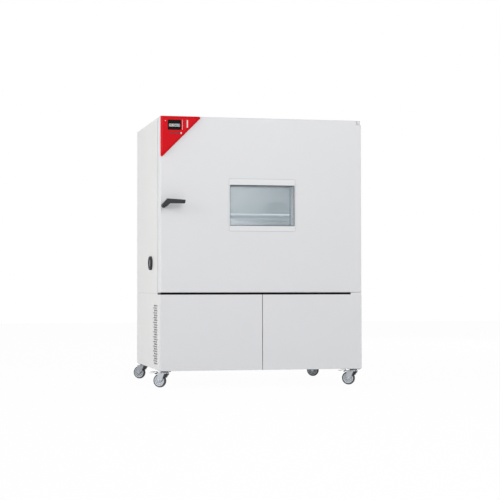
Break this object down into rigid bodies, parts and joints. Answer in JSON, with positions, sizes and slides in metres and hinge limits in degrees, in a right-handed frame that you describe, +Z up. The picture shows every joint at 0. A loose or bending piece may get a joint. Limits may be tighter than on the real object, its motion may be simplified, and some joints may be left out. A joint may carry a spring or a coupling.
{
  "type": "environmental test chamber",
  "caption": "Floor-standing climate cabinet on castors: wide side-hinged door with a window, corner controller and lever handle over a machine bay with two service panels.",
  "frame": {"origin": "on the floor under the middle of the whole outline, handle, brake pedals and rear fittings included; the cabinet's own middle plane lies 33 mm to the right of it", "axes": "+Z up, -Y towards the door (front), +X to the right seen from the front"},
  "size_m": [1.6106, 1.175, 2.005],
  "materials": {
    "painted_front": "satin",
    "painted_side": "satin",
    "galvanised": "satin",
    "black_trim": "matte",
    "stainless": "satin",
    "window_trim": "satin",
    "window_glass": "polished",
    "mineral_wool": "matte",
    "seal_rubber": "matte",
    "red_bezel": "satin",
    "screen": "gloss",
    "dark_keys": "satin",
    "pale_key": "satin",
    "handle_plastic": "satin",
    "port_plastic": "matte",
    "plug_silicone": "matte",
    "zinc_plate": "satin",
    "wheel_grey": "satin",
    "tyre_rubber": "matte",
    "fin_aluminium": "satin",
    "compressor_black": "satin",
    "motor_housing": "satin",
    "boiler_plastic": "satin",
    "gland_brass": "satin",
    "bush_brass": "satin"
  },
  "bodies": {
    "housing": {"base_frame": "galvanised", "lower_side_panels": "painted_side", "service_panels": "painted_front", "drip_gutter": "black_trim", "front_frame": "painted_side", "upper_side_panels": "painted_side", "top_panel": "painted_side", "rear_panels": "painted_side", "chamber_liner": "stainless", "chamber_insulation": "mineral_wool", "air_baffle": "stainless", "heater_coil": "stainless", "evaporator": "fin_aluminium", "shelf_rails": "stainless", "wire_shelf": "stainless", "compressors": "compressor_black", "condenser": "fin_aluminium", "humidifier": "boiler_plastic", "electrical_box": "galvanised", "fan_motors": "motor_housing", "port_sleeve": "port_plastic", "hinge_brackets": "painted_side", "latch_striker": "zinc_plate", "castor_plates": "zinc_plate", "drain_spigot": "gland_brass", "cable_gland": "port_plastic"},
    "door": {"door_skin": "painted_front", "door_liner": "stainless", "door_insulation": "mineral_wool", "door_gasket": "seal_rubber", "window_frame": "window_trim", "window_panes": "window_glass", "controller_bezel": "red_bezel", "display_screen": "screen", "hinge_bushes": "bush_brass", "handle_rosette": "handle_plastic"},
    "handle": {"handle_lever": "handle_plastic"},
    "menu_key_1": {"menu_key_1": "dark_keys"},
    "menu_key_2": {"menu_key_2": "dark_keys"},
    "menu_key_3": {"menu_key_3": "dark_keys"},
    "menu_key_4": {"menu_key_4": "dark_keys"},
    "power_key": {"power_key": "pale_key"},
    "circulation_fan_left": {"circulation_fan_left": "fin_aluminium"},
    "circulation_fan_right": {"circulation_fan_right": "fin_aluminium"},
    "condenser_fan": {"condenser_fan": "black_trim"},
    "port_plug": {"port_plug": "plug_silicone"},
    "front_left_castor": {"front_left_fork": "zinc_plate"},
    "front_left_wheel": {"front_left_tyre": "tyre_rubber", "front_left_hub": "wheel_grey"},
    "front_left_brake": {"front_left_brake_pedal": "zinc_plate"},
    "front_right_castor": {"front_right_fork": "zinc_plate"},
    "front_right_wheel": {"front_right_tyre": "tyre_rubber", "front_right_hub": "wheel_grey"},
    "front_right_brake": {"front_right_brake_pedal": "zinc_plate"},
    "rear_left_castor": {"rear_left_fork": "zinc_plate"},
    "rear_left_wheel": {"rear_left_tyre": "tyre_rubber", "rear_left_hub": "wheel_grey"},
    "rear_right_castor": {"rear_right_fork": "zinc_plate"},
    "rear_right_wheel": {"rear_right_tyre": "tyre_rubber", "rear_right_hub": "wheel_grey"}
  },
  "joints": [
    {"name": "door_swing", "type": "hinge", "parent": "housing", "child": "door", "pos_m": [0.78883, -0.4825, 0.702], "axis": [0, 0, 1], "range_deg": [0, 115]},
    {"name": "handle_turn", "type": "hinge", "parent": "door", "child": "handle", "pos_m": [-0.72067, -0.5075, 1.343], "axis": [0, 1, 0], "range_deg": [0, 90]},
    {"name": "menu_key_1_press", "type": "slide", "parent": "door", "child": "menu_key_1", "axis": [0, 1, 0], "range_m": [0, 0.001], "stiffness_N_per_m": 300},
    {"name": "menu_key_2_press", "type": "slide", "parent": "door", "child": "menu_key_2", "axis": [0, 1, 0], "range_m": [0, 0.001], "stiffness_N_per_m": 300},
    {"name": "menu_key_3_press", "type": "slide", "parent": "door", "child": "menu_key_3", "axis": [0, 1, 0], "range_m": [0, 0.001], "stiffness_N_per_m": 300},
    {"name": "menu_key_4_press", "type": "slide", "parent": "door", "child": "menu_key_4", "axis": [0, 1, 0], "range_m": [0, 0.001], "stiffness_N_per_m": 300},
    {"name": "power_key_press", "type": "slide", "parent": "door", "child": "power_key", "axis": [0, 1, 0], "range_m": [0, 0.001], "stiffness_N_per_m": 300},
    {"name": "circulation_fan_left_spin", "type": "hinge", "parent": "housing", "child": "circulation_fan_left", "pos_m": [-0.26967, 0.3625, 1.315], "axis": [0, 1, 0], "continuous": true},
    {"name": "circulation_fan_right_spin", "type": "hinge", "parent": "housing", "child": "circulation_fan_right", "pos_m": [0.33033, 0.3625, 1.315], "axis": [0, 1, 0], "continuous": true},
    {"name": "condenser_fan_spin", "type": "hinge", "parent": "housing", "child": "condenser_fan", "pos_m": [0.36033, 0.4425, 0.378], "axis": [0, 1, 0], "continuous": true},
    {"name": "port_plug_pull", "type": "slide", "parent": "housing", "child": "port_plug", "axis": [-1, 0, 0], "range_m": [0, 0.12]},
    {"name": "front_left_swivel", "type": "hinge", "parent": "housing", "child": "front_left_castor", "pos_m": [-0.69967, -0.4475, 0.11], "axis": [0, 0, 1], "continuous": true},
    {"name": "front_left_roll", "type": "hinge", "parent": "front_left_castor", "child": "front_left_wheel", "pos_m": [-0.73283, -0.42513, 0.05], "axis": [0.5592, 0.829, 0], "continuous": true},
    {"name": "front_left_brake_press", "type": "hinge", "parent": "front_left_castor", "child": "front_left_brake", "pos_m": [-0.72952, -0.42737, 0.106], "axis": [-0.5592, -0.829, 0], "range_deg": [0, 8]},
    {"name": "front_right_swivel", "type": "hinge", "parent": "housing", "child": "front_right_castor", "pos_m": [0.76033, -0.4475, 0.11], "axis": [0, 0, 1], "continuous": true},
    {"name": "front_right_roll", "type": "hinge", "parent": "front_right_castor", "child": "front_right_wheel", "pos_m": [0.72717, -0.42513, 0.05], "axis": [0.5592, 0.829, 0], "continuous": true},
    {"name": "front_right_brake_press", "type": "hinge", "parent": "front_right_castor", "child": "front_right_brake", "pos_m": [0.73048, -0.42737, 0.106], "axis": [-0.5592, -0.829, 0], "range_deg": [0, 8]},
    {"name": "rear_left_swivel", "type": "hinge", "parent": "housing", "child": "rear_left_castor", "pos_m": [-0.69967, 0.4675, 0.11], "axis": [0, 0, 1], "continuous": true},
    {"name": "rear_left_roll", "type": "hinge", "parent": "rear_left_castor", "child": "rear_left_wheel", "pos_m": [-0.73283, 0.48987, 0.05], "axis": [0.5592, 0.829, 0], "continuous": true},
    {"name": "rear_right_swivel", "type": "hinge", "parent": "housing", "child": "rear_right_castor", "pos_m": [0.76033, 0.4675, 0.11], "axis": [0, 0, 1], "continuous": true},
    {"name": "rear_right_roll", "type": "hinge", "parent": "rear_right_castor", "child": "rear_right_wheel", "pos_m": [0.72717, 0.48987, 0.05], "axis": [0.5592, 0.829, 0], "continuous": true}
  ]
}
